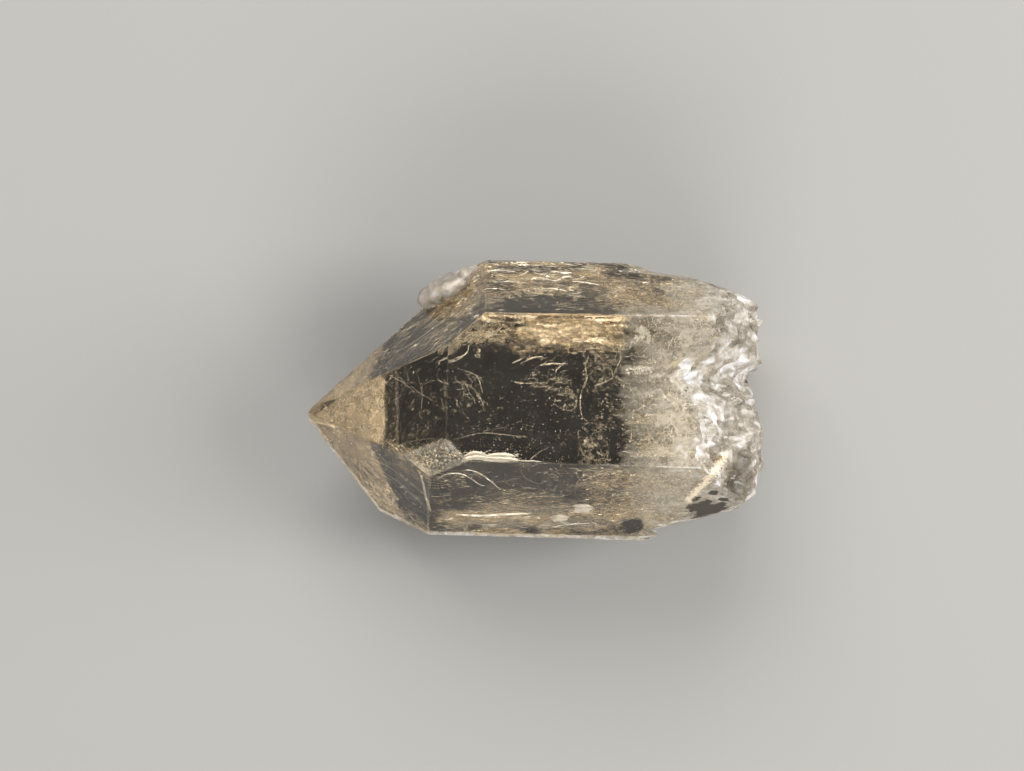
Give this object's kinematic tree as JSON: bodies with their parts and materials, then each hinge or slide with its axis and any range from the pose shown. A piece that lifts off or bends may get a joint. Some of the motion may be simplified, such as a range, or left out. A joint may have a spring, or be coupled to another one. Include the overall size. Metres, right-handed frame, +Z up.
{
  "type": "quartz specimen",
  "caption": "Single natural quartz crystal, six-sided with a faceted point and a rough broken end, clear with a pale smoky champagne tint, lying on one prism face.",
  "frame": {"origin": "on the resting surface, under the middle of the crystal's box", "axes": "+X along the long axis of the crystal from the point to the broken end, +Y across it, +Z up"},
  "size_m": [0.0602, 0.037, 0.0307],
  "materials": {
    "quartz": "natural crystal faces, clear and glossy, faintly striated, with a milky, rough broken end"
  },
  "bodies": {
    "root": {"quartz_crystal": "quartz"}
  },
  "joints": []
}
